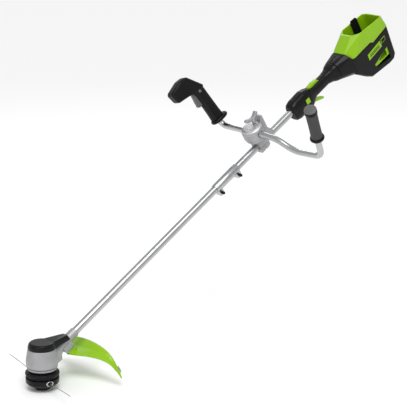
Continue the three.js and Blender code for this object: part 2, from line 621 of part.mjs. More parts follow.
function housingOuter(inset) {
  const seamRing = section([HANDLE_SEAM + 0.3, 35 - inset, -42 + inset, 31 - inset], 2.8)
    .map((p) => [p.x, p.y, p.z]);
  const collar = [[1585, 46 - inset, 20], [1585, 46 - inset, -48], [1585, 30, 34 - inset],
    [1583, 30, -62 + inset]];
  const cone = hull([...seamRing, ...collar.flatMap(([s, y, u]) => [[s, y, u], [s, -y, u]])]);
  const outline = [[1575, -56], [1615, -97], [1640, -117], [1738, -130], [1764, -128], [1778, -114],
    [1788, 4], [1787, 24], [1588, 24], [1576, 0]];
  const middle = [1690, -50];
  const pull = (distance) => outline.map(([s, u]) => {
    const [ds, du] = [middle[0] - s, middle[1] - u];
    const length = Math.hypot(ds, du);
    return [s + (distance * ds) / length, u + (distance * du) / length];
  });
  const rim = pull(inset).map(([s, u]) => [s, HOUSING_HALF - 6 - inset, u]);
  const cheek = pull(6 + inset).map(([s, u]) => [s, HOUSING_HALF - inset, u]);
  return joined(cone, pairedHull([...rim, ...cheek]));
}

const WINDOW = [[1752, -64], [1748, -108], [1676, -98], [1667, -84]];
const HOUSING_SCREWS = [[1560, -30], [1632, -90], [1764, -104], [1600, -20], [1768, -20]];

function housingShells() {
  const room = joined(housingOuter(3), rod(30, [1500, 0, -5], [1560, 0, -5], 24));
  const windows = slab(WINDOW, -90, 90);
  const whole = cut(housingOuter(0), room, aboveSplit(-GAP), windows);
  return {
    left: whole.intersect(block(1500, 1850, -90, -GAP / 2, -200, 130)),
    right: cut(whole.intersect(block(1500, 1850, GAP / 2, 90, -200, 130)),
      ...HOUSING_SCREWS.map(([s, u]) => rod(2.4, [s, 30, u], [s, 70, u], 10))),
  };
}

function batteryBay() {
  const shroud = pairedHull([[1560, 26, 20], [1586, HOUSING_HALF, -14], [1788, HOUSING_HALF - 1, -14],
    [1571, 27, 33], [1633, 21, 67], [1664, 45, 64], [1774, 46, 53], [1787, 34, 48], [1788, 44, 6]]);
  const liner = pairedHull([[1649, 43.5, 8], [1776, 43.5, 8], [1782, 35, 8], [1649, 43.5, -98],
    [1767, 43.5, -98], [1773, 35, -98]]);
  const bay = pairedHull([[1641, 17, 80], [1669, 41, 80], [1771, 42, 80], [1782, 31, 80],
    [1652, 41, 10], [1773, 41, 10], [1779, 33, 10], [1652, 41, BAY_FLOOR], [1764, 41, BAY_FLOOR],
    [1770, 33, BAY_FLOOR]]);
  const hollow = pairedHull([[1577, 22, 28], [1592, 42, 6], [1638, 42, 6], [1638, 30, 22],
    [1622, 13, 45], [1577, 22, -20], [1592, 42, -20], [1638, 42, -20]]);
  const sight = slab([[1742, -70], [1739, -96], [1694, -86]], -60, 60);
  return cut(joined(shroud.intersect(aboveSplit(0)), liner), bay, hollow, sight);
}

// The rail on the far wall that guides the battery.
const bayRail = () => pairedHull([[1704, 3, -60], [1738, 3, -60], [1704, 3, 62], [1738, 3, 62],
  [1710, 3, 70], [1734, 3, 68]]).translate([0, 37.6, 0]);

// The block and its four blades, which the battery's contacts slide over.
const terminalBlock = () => joined(block(1690, 1740, -16, 16, BAY_FLOOR + GAP, -78),
  ...[-11, -4, 4, 11].map((y) => block(1696, 1734, y - 0.8, y + 0.8, -79, -60)));

const controllerBoard = () => block(1592, 1640, -34, 34, -46, -43.6);

const sidePlate = () => slab([[1653, -27], [1651, -50], [1728, -44], [1728, -19]],
  -HOUSING_HALF - 1.6, -HOUSING_HALF - GAP);

// ---- assembly ----
const pistol = pistolShells();
const handle = handleShells();
const housing = housingShells();

add(brushCutter, 'motor_housing', CAST, motorHousing());
add(brushCutter, 'head_top_cover', BLACK, headTopCover());
add(brushCutter, 'lower_collar', CAST, lowerCollar());
add(brushCutter, 'stator', COPPER, stator());
add(brushCutter, 'bearing_lower', STEEL, spindleBearing(BEARING_SEATS.lower));
add(brushCutter, 'bearing_upper', STEEL, spindleBearing(BEARING_SEATS.upper));
add(brushCutter, 'spindle', STEEL, spindle());
add(brushCutter, 'rotor_bell', STEEL, rotorBell());
add(brushCutter, 'spool_cover', BLACK, spoolCover());
add(brushCutter, 'spool_body', BLACK, spoolBody());
add(brushCutter, 'eyelet_near', STEEL, lineEyelet(LINE_EXITS.near));
add(brushCutter, 'eyelet_far', STEEL, lineEyelet(LINE_EXITS.far));
add(brushCutter, 'spool_spring', STEEL, spoolSpring());
add(brushCutter, 'line_near', NYLON, trimmerLine(NEAR_LINE, LINE_EXITS.near));
add(brushCutter, 'line_far', NYLON, trimmerLine(FAR_LINE, LINE_EXITS.far));
add(brushCutter, 'bump_knob', BLACK, bumpKnob());
add(brushCutter, 'inner_spool', BLACK, innerSpool());
add(brushCutter, 'wound_line', NYLON, woundLine());
add(brushCutter, 'guard', GREEN, guard());
add(brushCutter, 'line_cutter', STEEL, lineCutter());
add(shaftGroup, 'guard_bracket', CAST, guardBracket());
add(shaftGroup, 'guard_screw_left', STEEL, guardScrew(GUARD_SCREWS.left));
add(shaftGroup, 'guard_screw_right', STEEL, guardScrew(GUARD_SCREWS.right));
add(shaftGroup, 'lower_tube', TUBE, lengthOfTube(TUBE_START, TUBE_JOINT));
add(shaftGroup, 'upper_tube', TUBE, lengthOfTube(TUBE_JOINT + 0.5, TUBE_END));
add(shaftGroup, 'coupler_sleeve', TUBE, couplerSleeve());
add(shaftGroup, 'coupler_bolt_front', BLACK, couplerBolt(COUPLER.front));
add(shaftGroup, 'coupler_bolt_rear', BLACK, couplerBolt(COUPLER.rear));
add(shaftGroup, 'power_cable', BLACK, powerCable());
add(shaftGroup, 'clamp_lower', CAST, clampLower());
add(shaftGroup, 'clamp_base', CAST, clampBase());
add(shaftGroup, 'clamp_bolt_left', STEEL, clampBolt(CLAMP_BOLTS.left));
add(shaftGroup, 'clamp_bolt_right', STEEL, clampBolt(CLAMP_BOLTS.right));
add(shaftGroup, 'clamp_turret', CAST, clampTurret());
add(shaftGroup, 'turret_cap', CAST, turretCap());
add(shaftGroup, 'wing_knob', CAST, wingKnob());
add(shaftGroup, 'handlebar_tube', TUBE, handlebarTube());
add(leftGripGroup, 'left_grip_flange', BLACK, leftGripFlange());
add(leftGripGroup, 'left_grip_rubber', GREY_RUBBER, leftGripRubber());
add(leftGripGroup, 'left_grip_collar', BLACK, gripRing(21.8, 118.3, 130));
add(leftGripGroup, 'left_grip_cap', MID_GREY, leftGripCap());
add(pistolGroup, 'pistol_left_shell', BLACK, pistol.left);
add(pistolGroup, 'pistol_right_shell', BLACK, pistol.right);
add(pistolGroup, 'pistol_flange', BLACK, pistolFlange());
add(pistolGroup, 'pistol_trigger', MID_GREY, pistolTrigger());
add(pistolGroup, 'pistol_button', MID_GREY, pistolButton());
add(shaftGroup, 'handle_left_shell', BLACK, handle.left);
add(shaftGroup, 'handle_right_shell', BLACK, handle.right);
add(shaftGroup, 'trigger_pin', STEEL, triggerPin());
add(shaftGroup, 'lockoff_lever', GREEN, lockoffLever());
add(shaftGroup, 'handle_trigger', GREEN, handleTrigger());
add(shaftGroup, 'trigger_switch', BLACK, triggerSwitch());
add(shaftGroup, 'speed_switch', GREEN, speedSwitch());
add(shaftGroup, 'housing_left_shell', BLACK, housing.left);
add(shaftGroup, 'housing_right_shell', BLACK, housing.right);
add(shaftGroup, 'battery_bay', GREEN, batteryBay());
add(shaftGroup, 'bay_rail', BLACK, bayRail());
add(shaftGroup, 'terminal_block', BLACK, terminalBlock());
add(shaftGroup, 'controller_board', BOARD, controllerBoard());
add(shaftGroup, 'side_plate', GREEN, sidePlate());

export default brushCutter;
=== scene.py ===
import json
import math

import bpy
from mathutils import Matrix, Vector

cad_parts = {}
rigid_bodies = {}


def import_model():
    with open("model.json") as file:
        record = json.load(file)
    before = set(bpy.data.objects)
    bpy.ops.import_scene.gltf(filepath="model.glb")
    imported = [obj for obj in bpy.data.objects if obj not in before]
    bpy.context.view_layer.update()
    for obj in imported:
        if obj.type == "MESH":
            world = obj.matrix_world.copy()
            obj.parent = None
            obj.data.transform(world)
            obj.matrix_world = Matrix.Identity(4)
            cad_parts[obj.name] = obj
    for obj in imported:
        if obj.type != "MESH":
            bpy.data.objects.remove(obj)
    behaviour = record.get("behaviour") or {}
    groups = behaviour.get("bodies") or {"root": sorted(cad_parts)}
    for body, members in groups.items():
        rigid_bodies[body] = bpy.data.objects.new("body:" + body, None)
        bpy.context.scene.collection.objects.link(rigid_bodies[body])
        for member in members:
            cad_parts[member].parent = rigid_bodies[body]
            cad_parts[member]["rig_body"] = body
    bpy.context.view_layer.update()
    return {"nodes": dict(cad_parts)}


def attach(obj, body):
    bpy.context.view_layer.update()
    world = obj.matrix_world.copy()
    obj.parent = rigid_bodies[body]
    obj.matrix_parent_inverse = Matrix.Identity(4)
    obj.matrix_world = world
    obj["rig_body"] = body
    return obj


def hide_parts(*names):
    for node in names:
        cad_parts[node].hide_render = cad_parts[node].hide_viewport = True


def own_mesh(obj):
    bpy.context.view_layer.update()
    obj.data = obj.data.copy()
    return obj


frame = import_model()
nodes = frame["nodes"]

# ---- camera, light and floor ----
# A long lens from the operator's left, a little above the line head, so the
# machine runs from the head at lower left to the battery bay at upper right.

bpy.ops.object.camera_add(location=(-2.9336, -4.0872, 1.9620))
camera = bpy.context.object
camera.data.lens = 148.0
camera.data.sensor_width = 36.0
camera.data.clip_end = 60.0
towards_machine = Vector((0.68568, 0.0, 0.4891)) - camera.location
camera.rotation_euler = towards_machine.to_track_quat("-Z", "Y").to_euler()
bpy.context.scene.camera = camera


def softbox(name, place, aim, size, power):
    bpy.ops.object.light_add(type="AREA", location=place)
    light = bpy.context.object
    light.name = name
    light.data.shape = "RECTANGLE"
    light.data.size = size[0]
    light.data.size_y = size[1]
    light.data.energy = power
    light.rotation_euler = (Vector(aim) - light.location).to_track_quat("-Z", "Y").to_euler()


softbox("key_light", (-1.0, -2.6, 3.4), (0.7, 0.0, 0.45), (1.8, 1.0), 34)
softbox("fill_light", (-3.2, -1.2, 1.4), (0.4, 0.0, 0.4), (1.0, 1.4), 9)
softbox("rim_light", (2.6, 2.4, 2.6), (0.9, 0.0, 0.6), (1.4, 0.9), 16)
bpy.ops.object.light_add(type="SUN", location=(-1.5, -2.0, 4.0))
ceiling = bpy.context.object
ceiling.name = "ceiling_light"
ceiling.data.energy = 1.3
ceiling.data.angle = math.radians(30)
ceiling.rotation_euler = Vector((0.35, 0.45, -1.0)).to_track_quat("-Z", "Y").to_euler()

world = bpy.data.worlds.new("studio")
bpy.context.scene.world = world
world.use_nodes = True
backdrop = world.node_tree.nodes["Background"]
backdrop.inputs["Color"].default_value = (1.0, 1.0, 1.0, 1.0)
backdrop.inputs["Strength"].default_value = 0.60
bpy.context.scene.view_settings.view_transform = "Standard"

bpy.ops.mesh.primitive_plane_add(size=40, location=(0, 0, 0))
floor = bpy.context.object
floor.name = "studio_floor"
floor_paint = bpy.data.materials.new("floor_paint")
floor_paint.use_nodes = True
floor_shader = floor_paint.node_tree.nodes["Principled BSDF"]
floor_shader.inputs["Base Color"].default_value = (0.96, 0.96, 0.96, 1)
floor_shader.inputs["Roughness"].default_value = 0.9
floor.data.materials.append(floor_paint)


# ---- trimmer lines ----
# Two ends of extruded nylon line, 2.3 mm thick, which leave the spool through
# the eyelets on opposite sides. The far one is the longer.


class Wire:
    """One output among a material's nodes; sums and products add Math nodes."""

    def __init__(self, tree, socket=None):
        self.tree = tree
        self.socket = socket

    def through(self, kind, settings, values, output=0):
        node = self.tree.nodes.new("ShaderNode" + kind)
        for key, value in settings.items():
            setattr(node, key, value)
        for key, value in values.items():
            if isinstance(value, Wire):
                self.tree.links.new(value.socket, node.inputs[key])
            else:
                node.inputs[key].default_value = value
        return Wire(self.tree, node.outputs[output])

    def maths(self, operation, first, second):
        return self.through("Math", {"operation": operation}, {0: first, 1: second})

    def __add__(self, other):
        return self.maths("ADD", self, other)

    def __radd__(self, other):
        return self.maths("ADD", other, self)

    def __mul__(self, other):
        return self.maths("MULTIPLY", self, other)

    def __rmul__(self, other):
        return self.maths("MULTIPLY", other, self)

    def above(self, level, softness):
        return self.through(
            "MapRange",
            {"clamp": True},
            {"Value": self, "From Min": level - softness, "From Max": level + softness},
        )

    def tinted(self, mask, low, high):
        """The colour that goes from low to high as mask goes from 0 to 1."""
        low = low if isinstance(low, Wire) else (*low, 1)
        return self.through(
            "Mix", {"data_type": "RGBA"}, {0: mask, 6: low, 7: (*high, 1)}, output=2
        )


SHAFT_SLOPE = math.radians(31.26)


def new_finish(name, metal=0.0):
    """An empty material, its surface shader, and a Wire of Object coordinates."""
    material = bpy.data.materials.new(name)
    material.use_nodes = True
    tree = material.node_tree
    surface = tree.nodes["Principled BSDF"]
    surface.inputs["Metallic"].default_value = metal
    start = Wire(tree)
    place = start.through("TexCoord", {}, {}, output=3)
    return material, surface, place


def noise(place, scale, detail=2.0, rough=0.5):
    return place.through(
        "TexNoise", {}, {"Vector": place, "Scale": scale, "Detail": detail, "Roughness": rough}
    )


def joined_up(surface, colour, roughness, height, relief):
    """Links a finish's colour, roughness and surface relief to its shader."""
    tree = height.tree
    tree.links.new(colour.socket, surface.inputs["Base Color"])
    tree.links.new(roughness.socket, surface.inputs["Roughness"])
    bump = height.through(
        "Bump", {}, {"Height": height, "Strength": 1.0, "Distance": relief}
    )
    tree.links.new(bump.socket, surface.inputs["Normal"])


def nylon_finish():
    material, surface, place = new_finish("clear_nylon")
    surface.inputs["Coat Weight"].default_value = 0.2
    streaks = noise(place, 90.0, 4.0)
    colour = place.tinted(streaks.above(0.5, 0.2), (0.13, 0.135, 0.14), (0.22, 0.225, 0.23))
    joined_up(surface, colour, 0.24 + streaks * 0.14, noise(place, 700.0), 0.00004)
    return material


clear_nylon = nylon_finish()
LINE_RADIUS = 0.00115
LINE_NEAR = [(52, 33), (60, 33.2), (70, 33.7), (80, 34.3), (90, 34.9), (100, 35.5),
             (110, 36), (120, 36.5), (130, 36.9), (140, 37.3), (150, 37.6), (160, 37.9),
             (170, 38.1), (181, 38.2), (192, 38.3)]
LINE_FAR = [(52, 33), (62, 33.3), (76, 34), (90, 34.8), (105, 35.6), (120, 36.4),
            (135, 37.1), (150, 37.8), (165, 38.3), (180, 38.7), (195, 39),
            (210, 39.2), (225, 39.3), (235, 39.2), (244, 39)]


def trimmer_line(name, node, route, angle):
    points = []
    for radius, height in route:
        reach = radius / 1000
        points.append(Vector((reach * math.cos(angle), reach * math.sin(angle), height / 1000)))
    curve = bpy.data.curves.new(name, "CURVE")
    curve.dimensions = "3D"
    curve.bevel_depth = LINE_RADIUS
    curve.bevel_resolution = 5
    curve.use_fill_caps = True
    spline = curve.splines.new("POLY")
    spline.points.add(len(points) - 1)
    for point, target in zip(spline.points, points):
        point.co = (*target, 1)
    curve.materials.append(clear_nylon)
    line = bpy.data.objects.new(name, curve)
    bpy.context.scene.collection.objects.link(line)
    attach(line, "line_head")
    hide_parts(node)


trimmer_line("trimmer_line_near", "line_near", LINE_NEAR, math.radians(-100))
trimmer_line("trimmer_line_far", "line_far", LINE_FAR, math.radians(80))


# ---- spool and bump knob ----
# The spool case is black moulded nylon in two halves, with finger recesses
# round its side, and the knob under it is the same nylon, turned by hand.


def black_nylon_finish():
    material, surface, place = new_finish("black_nylon")
    surface.inputs["Specular IOR Level"].default_value = 0.17
    cloud = noise(place, 14.0, 5.0)
    dust = noise(place, 130.0, 3.0, 0.6)
    colour = place.tinted(cloud.above(0.52, 0.2), (0.0045, 0.0045, 0.005), (0.008, 0.008, 0.0086))
    colour = place.tinted(dust.above(0.62, 0.12) * 0.3, colour, (0.014, 0.014, 0.014))
    grain = noise(place, 1900.0, 1.0)
    joined_up(surface, colour, 0.22 + cloud * 0.14, grain + cloud * 0.4, 0.000004)
    return material


black_nylon = black_nylon_finish()
WELD = 0.000002
SEAM_KEPT = 0.0022
RECESS_COUNT, RECESS_DEPTH = 12, 0.03


def softened(node, name, finish, edge=0.0006, corner=32, rounds=2):
    """A welded copy of a CAD node with its sharp edges rounded, which stands for it."""
    piece = bpy.data.objects.new(name, nodes[node].data.copy())
    bpy.context.scene.collection.objects.link(piece)
    alone(piece)
    bpy.ops.object.mode_set(mode="EDIT")
    bpy.ops.mesh.select_all(action="SELECT")
    bpy.ops.mesh.remove_doubles(threshold=WELD)
    bpy.ops.mesh.dissolve_limited(angle_limit=math.radians(0.8))
    bpy.ops.object.mode_set(mode="OBJECT")
    if edge:
        rounding = piece.modifiers.new("rounding", "BEVEL")
        rounding.width = edge
        rounding.segments = rounds
        rounding.limit_method = "ANGLE"
        rounding.angle_limit = math.radians(corner)
        bpy.ops.object.modifier_apply(modifier="rounding")
    bpy.ops.object.shade_smooth_by_angle(angle=math.radians(corner + 8))
    piece.data.materials.clear()
    piece.data.materials.append(finish)
    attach(piece, nodes[node]["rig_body"])
    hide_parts(node)
    return piece


def alone(piece):
    """Leaves one piece selected and active, in object mode."""
    bpy.ops.object.select_all(action="DESELECT")
    piece.select_set(True)
    bpy.context.view_layer.objects.active = piece


def rounded(piece, width, segments=2, corner=32):
    """Rounds a piece's sharp edges by a width in millimetres."""
    alone(piece)
    rounding = piece.modifiers.new("rounding", "BEVEL")
    rounding.width = width / 1000
    rounding.segments = segments
    rounding.limit_method = "ANGLE"
    rounding.angle_limit = math.radians(corner)
    bpy.ops.object.modifier_apply(modifier="rounding")


def fitted(piece, name, body, finish, stands_for=(), corner=38):
    """Names, paints and shades a piece, and fixes it to the body that it moves with."""
    piece.name = name
    alone(piece)
    bpy.ops.object.transform_apply(location=True, rotation=True, scale=True)
    bpy.ops.object.shade_smooth_by_angle(angle=math.radians(corner))
    piece.data.materials.clear()
    piece.data.materials.append(finish)
    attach(piece, body)
    if stands_for:
        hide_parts(*stands_for)
    return piece


def moulded(node, name, finish, voxel, soften=4, keep=0.4, split=False):
    """A copy of a CAD node with the soft corners of a moulding or casting, which stands for it.
    With split, a half shell is left unsmoothed near the middle plane that it is split on."""
    piece = bpy.data.objects.new(name, nodes[node].data.copy())
    bpy.context.scene.collection.objects.link(piece)
    alone(piece)
    bpy.ops.object.mode_set(mode="EDIT")
    bpy.ops.mesh.select_all(action="SELECT")
    bpy.ops.mesh.remove_doubles(threshold=WELD)
    bpy.ops.object.mode_set(mode="OBJECT")
    skin = piece.modifiers.new("skin", "REMESH")
    skin.mode = "VOXEL"
    skin.voxel_size = voxel / 1000
    bpy.ops.object.modifier_apply(modifier="skin")
    ease = piece.modifiers.new("ease", "SMOOTH")
    ease.factor = 0.5
    ease.iterations = soften
    if split:
        free = piece.vertex_groups.new(name="free")
        away = [v.index for v in piece.data.vertices if abs(v.co.y) > SEAM_KEPT]
        free.add(away, 1.0, "REPLACE")
        ease.vertex_group = "free"
    bpy.ops.object.modifier_apply(modifier="ease")
    thin = piece.modifiers.new("thin", "DECIMATE")
    thin.ratio = keep
    bpy.ops.object.modifier_apply(modifier="thin")
    return fitted(piece, name, nodes[node]["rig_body"], finish, [node], 50)


def spun(profile, steps=96):
    """A closed profile of (radius, height) in millimetres, spun round the Z axis."""
    bpy.ops.object.select_all(action="DESELECT")
    bpy.ops.mesh.primitive_circle_add(vertices=len(profile), radius=1)
    piece = bpy.context.object
    for vertex, (radius, height) in zip(piece.data.vertices, profile):
        vertex.co = (radius / 1000, 0, height / 1000)
    bpy.ops.object.mode_set(mode="EDIT")
    bpy.ops.mesh.select_all(action="SELECT")
    bpy.ops.mesh.spin(steps=steps, angle=2 * math.pi, center=(0, 0, 0), axis=(0, 0, 1))
    bpy.ops.mesh.select_all(action="SELECT")
    bpy.ops.mesh.remove_doubles(threshold=WELD)
    bpy.ops.mesh.delete_loose()
    bpy.ops.mesh.select_all(action="SELECT")
    bpy.ops.mesh.normals_make_consistent(inside=False)
    bpy.ops.object.mode_set(mode="OBJECT")
    return piece


spool_case_top = spun([(5.6, 35), (12, 35), (12, 46), (46.5, 46), (46.5, 41.6), (50, 41.6),
                       (50, 47.5), (52.4, 48.6), (54.4, 50.4), (55, 52.4), (55, 57.4),
                       (54.2, 59.2), (52, 60.6), (46, 62), (14, 62), (14, 64.5), (5.6, 64.5)],
                      144)
TAB_COUNT, TAB_DEPTH = 9, 0.05
for vertex in spool_case_top.data.vertices:
    reach = math.hypot(vertex.co.x, vertex.co.y)
    turn = (math.atan2(vertex.co.y, vertex.co.x) * TAB_COUNT / (2 * math.pi)) % 1
    if reach > 0.0515 and 0.40 < turn < 0.60:
        vertex.co.x *= 1 - TAB_DEPTH
        vertex.co.y *= 1 - TAB_DEPTH
rounded(spool_case_top, 0.5, 2, 30)
fitted(spool_case_top, "spool_case_top", "line_head", black_nylon,
       ["spool_cover"])
spool_case = spun([(30, 15.4), (38, 15.5), (44, 17), (50, 20.8), (53, 24.6), (54, 28),
                   (53.2, 28.6), (53.2, 29.6), (54, 30.2), (54, 41.3), (51.5, 41.3), (51.5, 26),
                   (48, 21.5), (43, 18.6), (38, 17.2), (30, 17)])
for vertex in spool_case.data.vertices:
    reach = math.hypot(vertex.co.x, vertex.co.y)
    turn = math.atan2(vertex.co.y, vertex.co.x) * RECESS_COUNT / (2 * math.pi)
    near_recess = max(0.0, 1 - abs((turn % 1) - 0.5) * 5)
    if reach > 0.0495 and vertex.co.z < 0.0275:
        pull = 1 - RECESS_DEPTH * near_recess
        vertex.co.x *= pull
        vertex.co.y *= pull
rounded(spool_case, 0.6, 2, 30)
fitted(spool_case, "spool_case", "line_head", black_nylon, ["spool_body"])
softened("bump_knob", "knob", black_nylon, 0.0008)
softened("inner_spool", "line_reel", black_nylon)


# ---- eyelets, spring and wound line ----
# Pressed steel eyelets guard the case where the line leaves it. A coil spring
# presses the reel down, and the reel carries the spare line.


def plain_steel_finish(name, shade, rough):
    material, surface, place = new_finish(name, metal=1.0)
    smear = noise(place, 60.0, 4.0)
    colour = place.tinted(smear.above(0.5, 0.25), shade, tuple(min(1, c * 1.18) for c in shade))
    joined_up(surface, colour, rough + smear * 0.16, noise(place, 1500.0), 0.000004)
    return material


plain_steel = plain_steel_finish("plain_steel", (0.55, 0.55, 0.56), 0.22)
# The eyelet bushes get near-black steel: painted shade that stands for the shadow inside the eyelet
# holes.
painted_shade_steel = plain_steel_finish("painted_shade_bush_steel", (0.035, 0.035, 0.037), 0.4)
softened("eyelet_near", "eyelet_bush_near", painted_shade_steel, 0.0003)
softened("eyelet_far", "eyelet_bush_far", painted_shade_steel, 0.0003)
SPOOL_RADIUS = 54.2


def eyelet_rim(name, angle):
    """The eyelet's oval outer rim, pressed to the curve of the case."""
    bpy.ops.object.select_all(action="DESELECT")
    bpy.ops.mesh.primitive_torus_add(
        major_radius=0.0082, minor_radius=0.0019, major_segments=48, minor_segments=14)
    rim = bpy.context.object
    for vertex in rim.data.vertices:
        across = vertex.co.x * 1.25
        turn = angle + across * 1000 / SPOOL_RADIUS
        reach = SPOOL_RADIUS / 1000 + vertex.co.z * 0.8
        height = 0.033 + vertex.co.y * 0.82
        vertex.co = (reach * math.cos(turn), reach * math.sin(turn), height)
    alone(rim)
    bpy.ops.object.mode_set(mode="EDIT")
    bpy.ops.mesh.select_all(action="SELECT")
    bpy.ops.mesh.normals_make_consistent(inside=False)
    bpy.ops.object.mode_set(mode="OBJECT")
    fitted(rim, name, "line_head", plain_steel, corner=60)


eyelet_rim("eyelet_rim_near", math.radians(-100))
eyelet_rim("eyelet_rim_far", math.radians(80))
reel_spring = softened("spool_spring", "reel_spring", plain_steel, 0, 40)
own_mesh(reel_spring)
softened("wound_line", "line_coil", clear_nylon, 0.0003)


# ---- motor ----
# A small outrunner sits in the housing: the rotor bell and spindle turn in
# two bearings round a wound stator.


def winding_finish():
    material, surface, place = new_finish("copper_winding", metal=1.0)
    turns = place.through(
        "TexWave", {"bands_direction": "Z"},
        {"Vector": place, "Scale": 300.0, "Distortion": 1.0, "Detail": 1.0},
        output=1,
    )
    colour = place.tinted(turns, (0.32, 0.11, 0.05), (0.62, 0.27, 0.12))
    joined_up(surface, colour, 0.3 + turns * 0.1, turns, 0.0002)
    return material


softened("spindle", "spindle_rod", plain_steel, 0.0003)
softened("rotor_bell", "motor_bell", plain_steel, 0.0004)
softened("bearing_lower", "lower_bearing", plain_steel, 0.0003)
softened("bearing_upper", "upper_bearing", plain_steel, 0.0003)
softened("stator", "stator_winding", winding_finish(), 0.0004)


# ---- motor housing ----
# The housing is a bead-blasted alloy casting whose neck holds the shaft. A
# turned collar closes it below, and a black moulded cover caps its top.


def casting_finish():
    material, surface, place = new_finish("blasted_casting", metal=0.75)
    cloud = noise(place, 22.0, 5.0)
    blast = noise(place, 1300.0, 2.0, 0.7)
    colour = place.tinted(cloud.above(0.5, 0.25), (0.33, 0.33, 0.34), (0.42, 0.42, 0.43))
    colour = place.tinted(blast.above(0.63, 0.06) * 0.4, colour, (0.62, 0.62, 0.63))
    joined_up(surface, colour, 0.46 + cloud * 0.1 + blast * 0.06, blast, 0.00001)
    return material


blasted_casting = casting_finish()
moulded("motor_housing", "motor_case", blasted_casting, 1.1, 3, 0.4)
softened("lower_collar", "case_collar", blasted_casting, 0.0005, 34)
moulded("head_top_cover", "case_cap", black_nylon, 1.1, 8, 0.5)
gasket = spun([(46.5, 75.7), (49.1, 75.7), (49.4, 76.1), (49.1, 76.5), (46.5, 76.5)])
fitted(gasket, "case_gasket", "frame", black_nylon)


# ---- line guard ----
# The guard is a thin lime-green moulded wing with a turned-down rim. A steel
# blade on its edge cuts the line to length.


def green_finish():
    material, surface, place = new_finish("lime_moulding")
    surface.inputs["Coat Weight"].default_value = 0.08
    surface.inputs["Coat Roughness"].default_value = 0.2
    surface.inputs["Specular IOR Level"].default_value = 0.34
    cloud = noise(place, 9.0, 4.0)
    peel = noise(place, 420.0, 2.0)
    colour = place.tinted(cloud.above(0.5, 0.3), (0.215, 0.43, 0.0015), (0.26, 0.50, 0.003))
    joined_up(surface, colour, 0.27 + cloud * 0.1 + peel * 0.05, peel, 0.000008)
    return material


lime_moulding = green_finish()
SHAFT = Matrix.Translation((0, 0, 0.08094)) @ Matrix.Rotation(-SHAFT_SLOPE, 4, "Y")
neck_plug = spun([(0, 19), (3.4, 19), (3.4, 24.0), (2.8, 24.8), (0, 24.8)], 32)
neck_plug.matrix_world = SHAFT @ Matrix.Translation((0.1165, 0, 0))
fitted(neck_plug, "neck_plug", "frame", lime_moulding)
moulded("guard", "line_guard", lime_moulding, 1.1, 8, 0.5)
softened("line_cutter", "cutting_blade", plain_steel, 0.0002)
moulded("guard_bracket", "guard_bracket_casting", blasted_casting, 0.8, 3, 0.4)
softened("guard_screw_left", "guard_fixing_left", plain_steel, 0.0003)
softened("guard_screw_right", "guard_fixing_right", plain_steel, 0.0003)


# ---- shaft ----
# Two lengths of satin anodised tube meet in a sleeve that is clamped by
# two black cap screws. The motor's cable runs up inside.


def anodised_finish():
    material, surface, place = new_finish("satin_anodised", metal=1.0)
    along = place.through(
        "Mapping", {"vector_type": "TEXTURE"},
        {"Vector": place, "Rotation": (0.0, -SHAFT_SLOPE, 0.0), "Scale": (0.2, 0.0022, 0.0022)},
    )
    draw = noise(along, 1.0, 3.0)
    cloud = noise(place, 12.0, 3.0)
    colour = place.tinted(cloud.above(0.5, 0.3), (0.44, 0.445, 0.45), (0.53, 0.535, 0.54))
    joined_up(surface, colour, 0.22 + draw * 0.12, draw, 0.000006)
    return material


def rubber_finish(name, shade, pips):
    material, surface, place = new_finish(name)
    cloud = noise(place, 30.0, 4.0)
    grip = noise(place, pips, 2.0)
    colour = place.tinted(cloud.above(0.5, 0.3), shade, tuple(c * 1.35 for c in shade))
    joined_up(surface, colour, 0.58 + cloud * 0.14, grip, 0.00006)
    return material


satin_anodised = anodised_finish()
black_steel = plain_steel_finish("blackened_steel", (0.028, 0.028, 0.030), 0.34)
cable_jacket = rubber_finish("cable_jacket", (0.018, 0.018, 0.018), 900.0)


def drawn_tube(path, radius, wall, stance):
    """A tube drawn along a path in millimetres, with open ends and a real wall."""
    curve = bpy.data.curves.new("tube_path", "CURVE")
    curve.dimensions = "3D"
    curve.bevel_depth = radius / 1000
    curve.bevel_resolution = 14
    spline = curve.splines.new("POLY")
    spline.points.add(len(path) - 1)
    for point, place in zip(spline.points, path):
        point.co = (*(Vector(place) / 1000), 1)
    tube = bpy.data.objects.new("tube", curve)
    bpy.context.scene.collection.objects.link(tube)
    alone(tube)
    bpy.ops.object.convert(target="MESH")
    tube = bpy.context.object
    bpy.ops.object.mode_set(mode="EDIT")
    bpy.ops.mesh.select_all(action="SELECT")
    bpy.ops.mesh.remove_doubles(threshold=WELD)
    bpy.ops.mesh.normals_make_consistent(inside=False)
    bpy.ops.object.mode_set(mode="OBJECT")
    thickness = tube.modifiers.new("wall", "SOLIDIFY")
    thickness.thickness = wall / 1000
    thickness.offset = -1
    bpy.ops.object.modifier_apply(modifier="wall")
    tube.matrix_world = stance
    return tube


fitted(drawn_tube([(64.4, 0, 0), (500, 0, 0), (905, 0, 0)], 13, 2, SHAFT), "shaft_lower",
       "frame", satin_anodised, ["lower_tube"])
fitted(drawn_tube([(905.5, 0, 0), (1100, 0, 0), (1345, 0, 0)], 13, 2, SHAFT), "shaft_upper",
       "frame", satin_anodised, ["upper_tube"])
softened("coupler_sleeve", "shaft_coupler", satin_anodised, 0.0007, 34)
softened("coupler_bolt_front", "coupler_screw_front", black_steel, 0.0004)
softened("coupler_bolt_rear", "coupler_screw_rear", black_steel, 0.0004)
softened("power_cable", "motor_cable", cable_jacket, 0, 40)


# ---- handlebar clamp ----
# A cast base is bolted round the shaft, and a cast turret on it carries the
# bar. The wing knob on the swivel's screw locks both.

